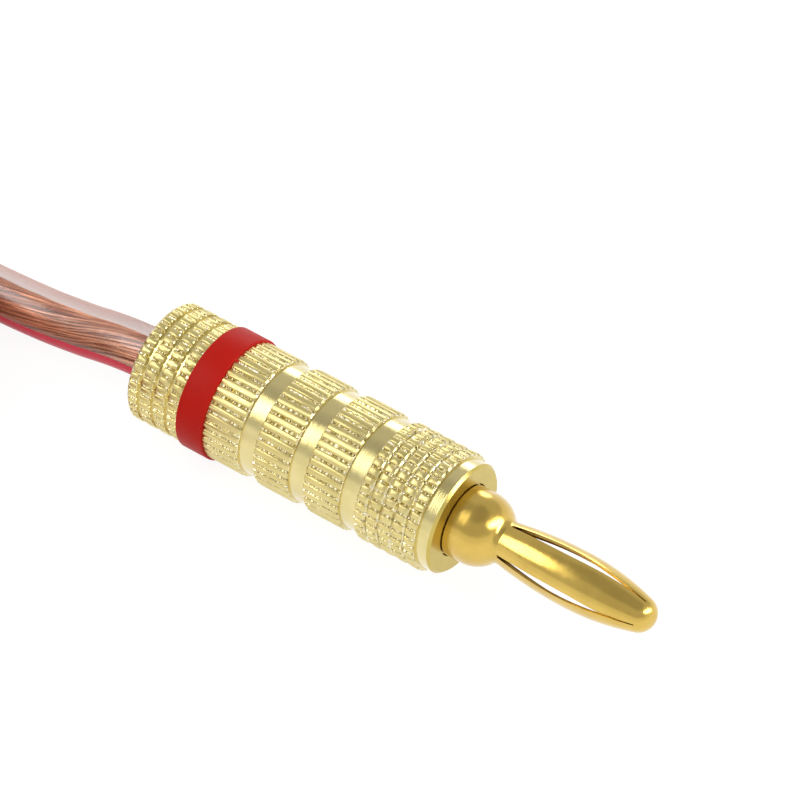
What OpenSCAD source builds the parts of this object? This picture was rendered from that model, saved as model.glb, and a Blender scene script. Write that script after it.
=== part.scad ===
// Banana plug on a clear speaker cable.
// The plug's axis runs along X with the contact's tip at +X, and the plug lies on the plane z = 0.

/* [Knurl] */
// Diameter of barrel and cap over the tips of the teeth
body_d = 11; // [10.6:0.1:12.5]
// Teeth around the barrel and the cap
tooth_count = 40; // [30:1:48]
// Depth of a tooth
tooth_depth = 0.24; // [0.15:0.01:0.28]
// Flat on top of a tooth, as a share of the pitch
tooth_top_share = 0.6; // [0.4:0.05:0.7]
// Flat at the foot between two teeth, as a share of the pitch
tooth_foot_share = 0.1; // [0.06:0.02:0.2]

/* [Barrel] */
// Straight knurled bands behind the front grip
band_count = 3; // [2:1:4]
// Length of a straight knurled band
band_length = 3.64; // [3:0.02:5]
// Length of the smooth groove in front of each band
groove_length = 1.62; // [1:0.02:2.4]
// Depth of the smooth grooves below the teeth's tips
groove_depth = 0.32; // [0.3:0.02:0.5]
// Bevel on the ends of the bands at the smooth grooves, and on the front end of the grip
band_bevel = 0.15; // [0.06:0.01:0.25]
// Bevel on the other edges of barrel and cap
edge_bevel = 0.06; // [0.03:0.01:0.12]
// Short knurled rings of the front grip
grip_ring_count = 5; // [3:1:7]
// Length of a front grip ring
grip_ring_length = 1.01; // [0.8:0.01:1.6]
// Width of the pointed grooves between front grip rings
grip_groove_width = 0.28; // [0.2:0.02:0.4]
// Depth of the pointed grooves
grip_groove_depth = 0.28; // [0.26:0.01:0.4]
// Length of the smooth lip at the front
lip_length = 1.37; // [0.8:0.01:2]
// Drop from the teeth's tips to the lip
lip_drop = 0.4; // [0.3:0.05:0.8]
// Chamfer around the front face
lip_chamfer = 0.24; // [0.1:0.02:0.4]
// Wall at the front that the contact is drawn against
front_wall = 3; // [2:0.1:4]
// Wall of the barrel around the contact
barrel_wall = 1.5; // [1.3:0.05:1.6]

/* [Cap] */
// Knurled rings of the cap
cap_ring_count = 4; // [3:1:6]
// Length of a cap ring
cap_ring_length = 1.07; // [0.8:0.01:1.6]
// Width of the grooves between cap rings
cap_groove_width = 0.38; // [0.2:0.02:0.5]
// Chamfer on the rear edge of the cap
cap_chamfer = 0.3; // [0.1:0.02:0.5]
// Wall of the barrel around the thread, to the thread's outer diameter
thread_wall = 1.1; // [1:0.05:1.2]
// Length of thread held in the barrel
thread_length = 4; // [3:0.5:6]
// Run-out behind the barrel's thread
thread_runout = 1; // [0.5:0.1:2]

/* [Colour ring] */
// Length of the colour ring
ring_length = 2.7; // [1.6:0.02:4]
// Height of the colour ring above the teeth's tips
ring_proud = 0.2; // [0.1:0.05:0.6]
// Chamfer on the ring's outer edges
ring_chamfer = 0.1; // [0.05:0.01:0.2]

/* [Contact] */
// Step from the contact's flanges down to its collar
collar_step = 0.6; // [0.45:0.05:0.8]
// Length of the domed collar in front of the barrel
collar_length = 4.1; // [3.6:0.1:6]
// Distance from the axis to the middle of the dome's rounding
dome_r = 0.2; // [0:0.05:0.6]
// Depth of the undercut at the foot of the collar
undercut_depth = 0.2; // [0.1:0.05:0.5]
// Length of the undercut that shows in front of the barrel
undercut_length = 0.2; // [0.1:0.05:1]
// Length of the undercut that lies in the barrel's front hole
undercut_inside = 0.3; // [0.1:0.05:0.6]
// Length of the flanges that centre the contact in the barrel
flange_length = 2.4; // [1.5:0.1:3]
// Height of the flanges above the shank between them
flange_height = 0.5; // [0.3:0.05:0.7]
// Depth of the wire hole past the end of the copper
wire_hole_spare = 1.5; // [0.5:0.5:3]
// Lead-in at the mouth of the wire hole
wire_lead_in = 0.5; // [0.2:0.1:0.8]
// Diameter of a grub screw
screw_d = 3; // [2.5:0.1:3]
// Distance between the grub screws
screw_pitch = 3.8; // [3.4:0.1:4.4]
// Hexagon socket of a grub screw, across corners
screw_socket_d = 1.7; // [1.4:0.05:1.8]
// Depth of the hexagon socket
screw_socket_depth = 0.9; // [0.6:0.1:1]

/* [Spring contact] */
// Length of the spring contact in front of the collar
spring_length = 15.3; // [14:0.1:20]
// Diameter of the round neck that the leaves spring from
neck_d = 3.9; // [3.4:0.05:4]
// Length of the neck in front of the collar
neck_length = 0.4; // [0.2:0.1:0.8]
// Diameter at the crest of the leaves
crest_d = 5.1; // [4.8:0.05:5.4]
// Distance from the collar to the crest
crest_at = 7.4; // [6.5:0.1:8.5]
// Diameter of the round tip
tip_d = 3.3; // [2.8:0.1:3.6]
// Thickness of the leaves
leaf_thickness = 0.26; // [0.2:0.02:0.4]
// Width of a slit between two leaves, at its middle
slit_width = 0.85; // [0.5:0.05:1]
// Width of a slit at its ends
slit_end_width = 0.15; // [0.1:0.05:0.4]
// Distance from the neck to the start of the slits
slit_start = 0.2; // [0.1:0.1:1]
// Distance from the end of the slits to the end of the tip
slit_tip_gap = 1.1; // [0.9:0.1:3]
// Turn of the leaves about the axis
leaf_turn = 35; // [0:5:85]
// Depth of the socket that holds the spring contact's foot
socket_depth = 3; // [2:0.1:4]

/* [Cable] */
// Diameter of the clear jacket
cable_d = 4.7; // [4:0.1:5]
// Diameter of the copper strands together
conductor_d = 2.4; // [2:0.1:3]
// Length of stripped copper in the contact
stripped_length = 10.5; // [9:0.5:12]
// Length of stripped copper at the far end
bare_end_length = 10; // [6:1:12]
// Thickness of the coil's tie
tie_thickness = 0.5; // [0.3:0.1:0.8]
// Width of the coil's tie
tie_width = 6; // [4:0.5:10]

/* [Clearances] */
// Radial clearance of the threads and of the ring on the cap
thread_clearance = 0.05; // [0.02:0.01:0.1]
// Radial clearance of the contact in barrel and front hole
contact_clearance = 0.1; // [0.05:0.01:0.15]
// Radial clearance of pressed and clamped pieces
seat_clearance = 0.03; // [0.02:0.01:0.05]
// Radial clearance of the cable in the cap
cable_clearance = 0.5; // [0.3:0.05:0.7]

/* [Hidden] */

gold = "#e3cf7d";
deep_gold = "#d8ab4c";
red = "#b92f24";
copper = "#c27a52";
jacket_tint = "#e2c3b4";
steel = "#8d8f92";
tie_grey = "#2b2b2d";

// Overlap that lets a cut pass clean through a face
cut = 0.5;
// Sides of small rounds and of the long arcs of the leaves
$fn = 96;
arc_sides = 720;

body_r = body_d / 2;
groove_r = body_r - groove_depth;
lip_r = body_r - lip_drop;
ring_r = body_r + ring_proud;
thread_r = body_r - thread_wall;
barrel_bore_r = body_r - barrel_wall;
flange_r = barrel_bore_r - contact_clearance;
shank_r = flange_r - flange_height;
collar_r = flange_r - collar_step;
neck_r = neck_d / 2;
crest_r = crest_d / 2;
tip_r = tip_d / 2;
cable_r = cable_d / 2;

// Lengths along the axis, from the rear of the cap
cap_pitch = cap_ring_length + cap_groove_width;
cap_length = cap_ring_count * cap_pitch - cap_groove_width;
band_pitch = band_length + groove_length;
bands_length = band_count * band_pitch;
grip_pitch = grip_ring_length + grip_groove_width;
grip_length = grip_ring_count * grip_pitch - grip_groove_width;
barrel_length = bands_length + grip_length + lip_length;
barrel_at = cap_length + ring_length;
front_at = barrel_at + barrel_length;
collar_front_at = front_at + collar_length;
plug_length = collar_front_at + spring_length;
spigot_end_at = barrel_at + thread_length;

// The axis lies at the height of the ring, which is the widest piece
axis_z = ring_r;
cap_bore_r = cable_r + cable_clearance;
nose_hole_r = collar_r + contact_clearance;
socket_r = neck_r + seat_clearance;
wire_hole_r = conductor_d / 2 + seat_clearance;
screw_hole_r = screw_d / 2 + seat_clearance;
screw_first_at = spigot_end_at + flange_length + screw_d / 2 + wire_lead_in;
screw_foot = conductor_d / 2 + seat_clearance;

// The collar's dome ends at the rim of the socket that holds the spring contact
dome_round = collar_r - dome_r;
dome_at = collar_length - sqrt(pow(dome_round, 2) - pow(socket_r - dome_r, 2));

// The rear arc of a leaf runs from neck to crest. The front arc runs from the crest into the round tip.
rear_rise = crest_r - neck_r;
rear_run = crest_at - neck_length;
rear_arc_r = (rear_run * rear_run + rear_rise * rear_rise) / (2 * rear_rise);
tip_at = spring_length - tip_r;
front_run = tip_at - crest_at;
front_arc_r = (front_run * front_run + crest_r * crest_r - tip_r * tip_r) / (2 * (crest_r - tip_r));
tip_meets_at = tip_at + tip_r * front_run / (front_arc_r - tip_r);
neck_inner_r = crest_r - rear_arc_r + sqrt(pow(rear_arc_r - leaf_thickness, 2) - rear_run * rear_run);

// Each side of a slit is an arc that bulges from the slit's ends to its middle
slit_from = neck_length + slit_start;
slit_length = spring_length - slit_from - slit_tip_gap;
slit_bulge = (slit_width - slit_end_width) / 2;
slit_side_r = (pow(slit_length / 2, 2) + pow(slit_bulge, 2)) / (2 * slit_bulge);

// Route of the cable from the contact to the coil, out along the axis, down to the surface and along it
route = [
  [-13.3, 0, axis_z], [-17.5, 0, axis_z], [-21.5, 0, axis_z], [-25.5, 0, 5.6], [-27.5, 0, 5.45],
  [-29.5, 0, 5.2], [-31.5, 0, 4.8], [-33.5, 0, 4.3], [-35.5, 0, 3.9], [-37.5, 0, 3.55], [-39.5, 0, 3.3],
  [-41.5, 0, 3.1], [-45.5, 0, 2.8], [-49.5, 0, 2.6], [-53.5, 0, 2.45], [-57.5, 0, 2.4], [-61.5, 0, 2.4],
  [-66, 0, 2.4]
];
route_sides = 10;
coil_x = -66;
coil_turns_wide = 3;
coil_layers = 2;
coil_mid_r = 28;
coil_width = coil_turns_wide * cable_d;
coil_height = coil_layers * cable_d;
coil_outer_turn_r = coil_mid_r + (coil_width - cable_d) / 2;
coil_y = -coil_outer_turn_r;
coil_top_turn_z = coil_height - cable_r;

// Places a shape that was drawn along Z on the plug's axis, at a distance from the rear of the cap
module on_axis(at) {
  translate([at - plug_length / 2, 0, axis_z])
    rotate([0, 90, 0])
      children();
}

// Outline of the knurl across the axis
function tooth_corner(index, share, radius) =
  let (angle = (index + share) * 360 / tooth_count)
  [radius * cos(angle), radius * sin(angle)];

module tooth_outline() {
  foot_r = body_r - tooth_depth;
  polygon([
    for (i = [0:tooth_count - 1])
      each [
        tooth_corner(i, -tooth_top_share / 2, body_r),
        tooth_corner(i, tooth_top_share / 2, body_r),
        tooth_corner(i, 0.5 - tooth_foot_share / 2, foot_r),
        tooth_corner(i, 0.5 + tooth_foot_share / 2, foot_r)
      ]
  ]);
}

// Section of a turned groove with bevelled edges, to be cut from a section of the body
module groove_section(from, width, bevel) {
  top = bevel + cut;
  polygon([
    [groove_r, from],
    [groove_r, from + width],
    [body_r - bevel, from + width],
    [body_r + cut, from + width + top],
    [body_r + cut, from - top],
    [body_r - bevel, from]
  ]);
}

// Section of a pointed groove around its middle, to be cut from a section of the body
module pointed_groove_section(middle) {
  half_width = grip_groove_width / 2;
  reach = half_width * (1 + cut / grip_groove_depth);
  polygon([
    [body_r - grip_groove_depth, middle],
    [body_r + cut, middle + reach],
    [body_r + cut, middle - reach]
  ]);
}

// Section of a chamfer on an outer edge, to be cut from a section that ends there
module chamfer_section(radius, at, size, towards) {
  polygon([
    [radius - size - cut, at + towards * cut],
    [radius + cut, at + towards * cut],
    [radius + cut, at - towards * (size + cut)]
  ]);
}

// Section of the step from the grip down to the lip, to be cut from a section of the body
module lip_step_section(from) {
  polygon([
    [lip_r, from],
    [body_r - band_bevel, from],
    [body_r + cut, from - band_bevel - cut],
    [body_r + cut, barrel_length + cut],
    [lip_r, barrel_length + cut]
  ]);
}

module barrel_section() {
  difference() {
    square([body_r + cut, barrel_length]);
    for (i = [0:band_count - 1])
      groove_section(i * band_pitch + band_length, groove_length, band_bevel);
    for (i = [1:grip_ring_count - 1])
      pointed_groove_section(bands_length + i * grip_pitch - grip_groove_width / 2);
    lip_step_section(barrel_length - lip_length);
    chamfer_section(lip_r, barrel_length, lip_chamfer, 1);
    chamfer_section(body_r, 0, edge_bevel, -1);
    translate([-cut, -cut])
      square([thread_r + thread_clearance + cut, thread_length + thread_runout + cut]);
    translate([-cut, 0])
      square([barrel_bore_r + cut, barrel_length - front_wall]);
    translate([-cut, 0])
      square([nose_hole_r + cut, barrel_length + cut]);
  }
}

module barrel() {
  color(gold)
    on_axis(barrel_at)
      intersection() {
        linear_extrude(barrel_length)
          tooth_outline();
        rotate_extrude()
          barrel_section();
      }
}

module cap_section() {
  difference() {
    square([body_r + cut, cap_length]);
    for (i = [1:cap_ring_count - 1])
      groove_section(i * cap_pitch - cap_groove_width, cap_groove_width, edge_bevel);
    chamfer_section(body_r, 0, cap_chamfer, -1);
    chamfer_section(body_r, cap_length, edge_bevel, 1);
    translate([-cut, -cut])
      square([cap_bore_r + cut, cap_length + 2 * cut]);
    translate([cap_bore_r, 0])
      rotate(45)
        square(cap_chamfer * sqrt(2), center = true);
  }
}

module spigot_section() {
  spigot_length = spigot_end_at - cap_ring_length;
  difference() {
    translate([cap_bore_r, cap_ring_length])
      square([thread_r - cap_bore_r, spigot_length]);
    chamfer_section(thread_r, spigot_end_at, cap_chamfer, 1);
  }
}

module rear_cap() {
  color(gold)
    on_axis(0)
      union() {
        intersection() {
          linear_extrude(cap_length)
            tooth_outline();
          rotate_extrude()
            cap_section();
        }
        rotate_extrude()
          spigot_section();
      }
}

module colour_ring() {
  inner_r = thread_r + thread_clearance;
  color(red)
    on_axis(cap_length)
      rotate_extrude()
        difference() {
          translate([inner_r, 0])
            square([ring_r - inner_r, ring_length]);
          chamfer_section(ring_r, 0, ring_chamfer, -1);
          chamfer_section(ring_r, ring_length, ring_chamfer, 1);
        }
}

// Section of the contact, with its zero at the barrel's front face
module contact_section() {
  rear = spigot_end_at - front_at;
  shoulder = -front_wall;
  difference() {
    union() {
      square([collar_r, dome_at]);
      translate([dome_r, dome_at])
        circle(dome_round);
      translate([0, shoulder])
        square([collar_r, front_wall]);
      translate([0, shoulder - flange_length])
        square([flange_r, flange_length]);
      translate([0, rear])
        square([shank_r, shoulder - rear]);
      translate([0, rear])
        square([flange_r, flange_length]);
    }
    translate([collar_r - undercut_depth, -undercut_inside])
      square([collar_r, undercut_inside + undercut_length]);
    translate([-collar_r, collar_length - socket_depth])
      square([collar_r + socket_r, socket_depth + dome_round]);
    translate([-collar_r, shoulder])
      square([collar_r, collar_length + front_wall]);
  }
}

module contact_body() {
  color(deep_gold)
    difference() {
      on_axis(front_at)
        rotate_extrude()
          contact_section();
      on_axis(spigot_end_at - cut)
        cylinder(r = wire_hole_r, h = stripped_length + wire_hole_spare + cut);
      on_axis(spigot_end_at)
        cylinder(r1 = wire_hole_r + wire_lead_in, r2 = wire_hole_r, h = wire_lead_in);
      for (i = [0:1])
        on_axis(screw_first_at + i * screw_pitch)
          rotate([0, -90, 0])
            cylinder(r = screw_hole_r, h = 2 * shank_r);
    }
}

// Section of the spring contact's skin, drawn in by a distance from the outside
module leaf_section(inset, foot_r) {
  intersection() {
    translate([crest_r - rear_arc_r, crest_at])
      circle(rear_arc_r - inset, $fn = arc_sides);
    translate([0, neck_length])
      square([crest_r, rear_run]);
  }
  intersection() {
    translate([crest_r - front_arc_r, crest_at])
      circle(front_arc_r - inset, $fn = arc_sides);
    translate([0, crest_at])
      square([crest_r, tip_meets_at - crest_at]);
  }
  intersection() {
    translate([0, tip_at])
      circle(tip_r - inset);
    translate([0, tip_at])
      square(tip_r);
  }
  translate([0, -socket_depth])
    square([foot_r, socket_depth + neck_length]);
}

module spring_contact() {
  color(deep_gold)
    on_axis(collar_front_at)
      difference() {
        rotate_extrude()
          difference() {
            leaf_section(0, neck_r);
            leaf_section(leaf_thickness, neck_inner_r);
          }
        for (angle = [45, 135])
          rotate(leaf_turn + angle)
            slit();
      }
}

// A round plate whose edge is one side of a slit
module slit_side(towards) {
  translate([towards * (slit_side_r - slit_width / 2), 0])
    circle(slit_side_r, $fn = arc_sides);
}

// A slit right through the spring contact, narrow at its ends and wide where the leaves bulge
module slit() {
  translate([0, 0, slit_from + slit_length / 2])
    rotate([90, 0, 0])
      linear_extrude(2 * crest_d, center = true)
        intersection() {
          square([2 * slit_width, slit_length], center = true);
          slit_side(-1);
          slit_side(1);
        }
}

module grub_screws() {
  color(steel)
    for (i = [0:1])
      on_axis(screw_first_at + i * screw_pitch)
        rotate([0, -90, 0])
          difference() {
            translate([0, 0, screw_foot])
              cylinder(d = screw_d, h = shank_r - screw_foot);
            translate([0, 0, shank_r - screw_socket_depth])
              cylinder(d = screw_socket_d, h = screw_socket_depth + cut, $fn = 6);
          }
}

module cable_conductor() {
  color(copper)
    on_axis(spigot_end_at)
      cylinder(d = conductor_d, h = stripped_length);
}

// Ring of points around one point of the route, square to the cable there
function route_ring(index) =
  let (
    before = route[max(index - 1, 0)],
    after = route[min(index + 1, len(route) - 1)],
    along = (after - before) / norm(after - before),
    side = [0, 1, 0],
    up = cross(side, along)
  )
  [
    for (k = [0:route_sides - 1])
      let (angle = k * 360 / route_sides)
      route[index] + cable_r * (cos(angle) * side + sin(angle) * up)
  ];

module cable_jacket() {
  last = len(route) - 1;
  points = [for (i = [0:last]) each route_ring(i)];
  walls = [
    for (i = [0:last - 1], k = [0:route_sides - 1])
      let (
        next = (k + 1) % route_sides,
        here = i * route_sides,
        there = here + route_sides
      )
      [here + k, here + next, there + next, there + k]
  ];
  near_end = [for (k = [0:route_sides - 1]) route_sides - 1 - k];
  far_end = [for (k = [0:route_sides - 1]) last * route_sides + k];
  color(jacket_tint)
    polyhedron(points, concat(walls, [near_end, far_end]));
}

module rounded_rectangle(width, height, radius) {
  square([width - 2 * radius, height], center = true);
  square([width, height - 2 * radius], center = true);
  for (x = [-1, 1], y = [-1, 1])
    translate([x * (width / 2 - radius), y * (height / 2 - radius)])
      circle(radius);
}

// Places a section across the coil's turns at the tie, on the side of the coil away from the plug
module at_tie() {
  translate([coil_x - coil_mid_r, coil_y, coil_height / 2])
    rotate([90, 0, 0])
      linear_extrude(tie_width, center = true)
        children();
}

module tie_opening() {
  rounded_rectangle(coil_width - 2 * tie_thickness, coil_height - 2 * tie_thickness, cable_r - tie_thickness);
}

module cable_coil() {
  color(jacket_tint)
    difference() {
      translate([coil_x, coil_y, coil_height / 2])
        rotate_extrude()
          translate([coil_mid_r, 0])
            rounded_rectangle(coil_width, coil_height, cable_r);
      at_tie()
        difference() {
          square([coil_width + 2 * cut, coil_height + 2 * cut], center = true);
          tie_opening();
        }
      translate(route[len(route) - 1])
        rotate([0, 90, 0])
          cylinder(r = cable_r + seat_clearance, h = coil_mid_r);
      bare_end_shape(seat_clearance);
    }
}

module coil_tie() {
  color(tie_grey)
    at_tie()
      difference() {
        rounded_rectangle(coil_width, coil_height, cable_r);
        tie_opening();
      }
}

module bare_end_shape(clearance) {
  translate([coil_x, coil_y - coil_outer_turn_r, coil_top_turn_z])
    rotate([0, 90, 0])
      cylinder(r = conductor_d / 2 + clearance, h = bare_end_length + clearance);
}

module cable_bare_end() {
  color(copper)
    bare_end_shape(0);
}

barrel();
rear_cap();
colour_ring();
contact_body();
spring_contact();
grub_screws();
cable_conductor();
cable_jacket();
cable_coil();
cable_bare_end();
coil_tie();
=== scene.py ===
"""Looks of a gold banana plug on clear speaker cable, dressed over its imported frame.

Fields hold sizes in millimetres and angles in degrees, and meshes are made in metres. The grain of a
noise or a weave is counted per metre. The plug's axis runs along X.
"""

import logging
import math
from dataclasses import dataclass, field
from enum import Enum
from typing import Iterable, Sequence

import bmesh
import bpy
from mathutils import Matrix, Vector


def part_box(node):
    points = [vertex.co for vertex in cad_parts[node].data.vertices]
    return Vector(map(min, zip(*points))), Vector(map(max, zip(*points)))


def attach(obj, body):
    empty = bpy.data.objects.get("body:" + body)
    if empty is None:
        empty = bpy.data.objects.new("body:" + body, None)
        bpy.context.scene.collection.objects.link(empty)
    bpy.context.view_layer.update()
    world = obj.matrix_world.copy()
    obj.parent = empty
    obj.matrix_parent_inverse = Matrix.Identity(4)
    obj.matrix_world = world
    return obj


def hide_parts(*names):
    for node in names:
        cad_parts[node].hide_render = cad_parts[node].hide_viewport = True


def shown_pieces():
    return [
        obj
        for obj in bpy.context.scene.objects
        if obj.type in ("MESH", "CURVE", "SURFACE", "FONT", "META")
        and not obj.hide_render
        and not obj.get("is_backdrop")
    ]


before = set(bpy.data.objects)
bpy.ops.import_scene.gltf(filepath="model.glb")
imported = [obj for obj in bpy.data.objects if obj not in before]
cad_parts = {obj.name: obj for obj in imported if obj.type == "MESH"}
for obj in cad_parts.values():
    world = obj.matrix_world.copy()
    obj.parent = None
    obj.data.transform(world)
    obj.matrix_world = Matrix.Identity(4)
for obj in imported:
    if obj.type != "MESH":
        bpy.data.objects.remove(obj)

LOG = logging.getLogger("banana_plug")
MM = 0.001
TURN = 2 * math.pi
TINY = 1e-6  # a length below this counts as none
WHITE = (1.0, 1.0, 1.0, 1.0)
NOISE_SPREAD = (0.3, 0.7)  # where most values of a noise lie

Colour = tuple[float, float, float]
Place = tuple[float, float, float]
Span = tuple[float, float]
Face = tuple[int, ...]


class Sock:
    """A node's output that takes part in Python sums, in shader and geometry trees alike."""

    def __init__(self, board: "Board", socket: bpy.types.NodeSocket | None) -> None:
        """Keeps the tree's board and the output."""
        self.board = board
        self.socket = socket

    def __getitem__(self, name: str) -> "Sock":
        """Another output of the same node, by its name or identifier."""
        return Sock(self.board, self.board.pick(self.socket.node.outputs, name))

    def __add__(self, other: "Sock | float") -> "Sock":
        """The sum of two values."""
        return self.board.calc("ADD", self, other)

    def __radd__(self, other: float) -> "Sock":
        """A number plus this value."""
        return self.board.calc("ADD", other, self)

    def __sub__(self, other: "Sock | float") -> "Sock":
        """The difference of two values."""
        return self.board.calc("SUBTRACT", self, other)

    def __rsub__(self, other: float) -> "Sock":
        """A number minus this value."""
        return self.board.calc("SUBTRACT", other, self)

    def __mul__(self, other: "Sock | float") -> "Sock":
        """The product of two values."""
        return self.board.calc("MULTIPLY", self, other)

    def __rmul__(self, other: float) -> "Sock":
        """A number times this value."""
        return self.board.calc("MULTIPLY", other, self)

    def __truediv__(self, other: "Sock | float") -> "Sock":
        """The quotient of two values."""
        return self.board.calc("DIVIDE", self, other)

    def __rtruediv__(self, other: float) -> "Sock":
        """A number divided by this value."""
        return self.board.calc("DIVIDE", other, self)


class Board:
    """A node tree with one way of adding a node."""

    def __init__(self, tree: bpy.types.NodeTree) -> None:
        """Keeps the tree that nodes are added to."""
        self.tree = tree

    @staticmethod
    def pick(sockets: Iterable[bpy.types.NodeSocket], name: str) -> bpy.types.NodeSocket:
        """Finds a socket of a node.

        Args:
            sockets: The node's inputs or outputs.
            name: An identifier, or the name of a socket that is in use.

        Returns:
            The socket.
        """
        found = [s for s in sockets if s.identifier == name]
        found = found or [s for s in sockets if s.name == name and s.enabled]
        if not found:
            raise KeyError(name)
        return found[0]

    def node(self, kind: str, settings: dict | None = None, sockets: dict | None = None) -> Sock:
        """Adds a node, sets it and links it.

        Args:
            kind: The node's type.
            settings: Its properties.
            sockets: Values or links of its inputs, by name or identifier. An input of many links has a list.

        Returns:
            The node's first output in use, or an empty one for a node that ends the tree.
        """
        made = self.tree.nodes.new(kind)
        for key, value in (settings or {}).items():
            setattr(made, key, value)
        for key, value in (sockets or {}).items():
            target = self.pick(made.inputs, key)
            for part in value if isinstance(value, list) else [value]:
                if isinstance(part, Sock):
                    self.tree.links.new(part.socket, target)
                else:
                    target.default_value = part
        shown = [s for s in made.outputs if s.enabled]
        return Sock(self, shown[0] if shown else None)

    def calc(self, operation: str, first: Sock | float, second: Sock | float = 0.0) -> Sock:
        """A Math node on one value or two."""
        return self.node("ShaderNodeMath", {"operation": operation}, {"Value": first, "Value_001": second})

    def vector(self, operation: str, first: Sock, second: Sock) -> Sock:
        """A Vector Math node on two vectors."""
        sockets = {"Vector": first, "Vector_001": second}
        return self.node("ShaderNodeVectorMath", {"operation": operation}, sockets)

    def scaled(self, vector: Sock, scale: Sock) -> Sock:
        """A vector times a value."""
        sockets = {"Vector": vector, "Scale": scale}
        return self.node("ShaderNodeVectorMath", {"operation": "SCALE"}, sockets)

    def parts(self, vector: Sock) -> Sock:
        """A vector's parts, by the names X, Y and Z."""
        return self.node("ShaderNodeSeparateXYZ", None, {"Vector": vector})

    def spot(self) -> Sock:
        """The place on a piece, in metres."""
        return self.node("ShaderNodeTexCoord")["Object"]

    def attribute(self, name: str) -> Sock:
        """A value that a piece's mesh carries."""
        return self.node("ShaderNodeAttribute", {"attribute_name": name})["Fac"]

    def noise(self, vector: Sock, grain: float, detail: float = 2.0, roughness: float = 0.5) -> Sock:
        """Noise over a vector.

        Args:
            vector: Where it is read.
            grain: Grains per metre, or per unit of the vector.
            detail: Octaves.
            roughness: Share of the finer octaves.

        Returns:
            The noise, from 0 to 1.
        """
        return self.node(
            "ShaderNodeTexNoise",
            {"noise_dimensions": "3D"},
            {"Vector": vector, "Scale": grain, "Detail": detail, "Roughness": roughness},
        )

    def ramp(self, value: Sock, low: float, high: float, start: float = 0.0, end: float = 1.0) -> Sock:
        """A value stretched from one range to another, and held at its ends."""
        return self.node(
            "ShaderNodeMapRange",
            {"clamp": True},
            {"Value": value, "From Min": low, "From Max": high, "To Min": start, "To Max": end},
        )

    def spread(self, noise: Sock, start: float = 0.0, end: float = 1.0) -> Sock:
        """A noise whose usual values fill a range."""
        return self.ramp(noise, *NOISE_SPREAD, start, end)

    def blend(self, share: Sock | float, first: Sock | Colour, second: Sock | Colour) -> Sock:
        """A colour between two colours.

        Args:
            share: How much of the second colour.
            first: The colour at no share.
            second: The colour at full share.

        Returns:
            The colour.
        """
        ends = [end if isinstance(end, Sock) else (*end, 1.0) for end in (first, second)]
        sockets = {"Factor_Float": share, "A_Color": ends[0], "B_Color": ends[1]}
        return self.node("ShaderNodeMix", {"data_type": "RGBA"}, sockets)["Result_Color"]

    def bump(self, height: Sock, reach: float) -> Sock:
        """A normal bent by a height from 0 to 1, with its reach in millimetres."""
        sockets = {"Height": height, "Distance": reach * MM, "Strength": 1.0}
        return self.node("ShaderNodeBump", None, sockets)

    def principled(self, sockets: dict) -> Sock:
        """A Principled shader."""
        return self.node("ShaderNodeBsdfPrincipled", None, sockets)

    def mixed(self, share: Sock, first: Sock, second: Sock) -> Sock:
        """A shader between two shaders, by a share of the second one."""
        sockets = {"Fac": share, "Shader": first, "Shader_001": second}
        return self.node("ShaderNodeMixShader", None, sockets)


class GeoBoard(Board):
    """A Geometry Nodes tree whose inputs are a geometry, named numbers and a material."""

    KINDS = {int: "NodeSocketInt", float: "NodeSocketFloat"}

    def __init__(self, name: str, numbers: dict[str, type]) -> None:
        """Makes the tree.

        Args:
            name: The tree's name.
            numbers: Each number's name and its kind, int or float.
        """
        super().__init__(bpy.data.node_groups.new(name, "GeometryNodeTree"))
        kinds = {label: self.KINDS[kind] for label, kind in numbers.items()}
        inputs = {"Geometry": "NodeSocketGeometry", **kinds, "Material": "NodeSocketMaterial"}
        for label, kind in inputs.items():
            self.tree.interface.new_socket(label, in_out="INPUT", socket_type=kind)
        self.tree.interface.new_socket("Geometry", in_out="OUTPUT", socket_type="NodeSocketGeometry")
        self.given = self.node("NodeGroupInput")

    def stored(self, geometry: Sock, domain: str, name: str, value: Sock | float) -> Sock:
        """Makes a geometry carry a value.

        Args:
            geometry: The geometry.
            domain: What has the value, such as points or curves.
            name: The value's name.
            value: The value.

        Returns:
            The geometry with the value.
        """
        settings = {"data_type": "FLOAT", "domain": domain}
        sockets = {"Geometry": geometry, "Name": name, "Value": value}
        return self.node("GeometryNodeStoreNamedAttribute", settings, sockets)

    def carried(self, kind: str, name: str) -> Sock:
        """The value of a kind that the geometry carries under a name."""
        return self.node("GeometryNodeInputNamedAttribute", {"data_type": kind}, {"Name": name})

    def bar(self, curve: Sock, sides: int, radius: Sock, scale: Sock | float = 1.0) -> Sock:
        """A closed bar along a curve.

        Args:
            curve: Its middle line.
            sides: Sides of its section.
            radius: Radius of its section.
            scale: Scale of its section along the curve.

        Returns:
            The bar's mesh.
        """
        circle = {"Resolution": sides, "Radius": radius}
        section = self.node("GeometryNodeCurvePrimitiveCircle", None, circle)
        sockets = {"Curve": curve, "Profile Curve": section, "Scale": scale, "Fill Caps": True}
        return self.node("GeometryNodeCurveToMesh", None, sockets)

    def close(self, geometry: Sock, selection: Sock | None = None) -> bpy.types.NodeTree:
        """Ends the tree with real geometry in the given material.

        Args:
            geometry: What the tree has made.
            selection: Faces that take the material, or all.

        Returns:
            The tree.
        """
        real = self.node("GeometryNodeRealizeInstances", None, {"Geometry": geometry})
        sockets = {"Geometry": real, "Material": self.given["Material"]}
        if selection is not None:
            sockets["Selection"] = selection
        dressed = self.node("GeometryNodeSetMaterial", None, sockets)
        self.node("NodeGroupOutput", None, {"Geometry": dressed})
        return self.tree


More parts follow.
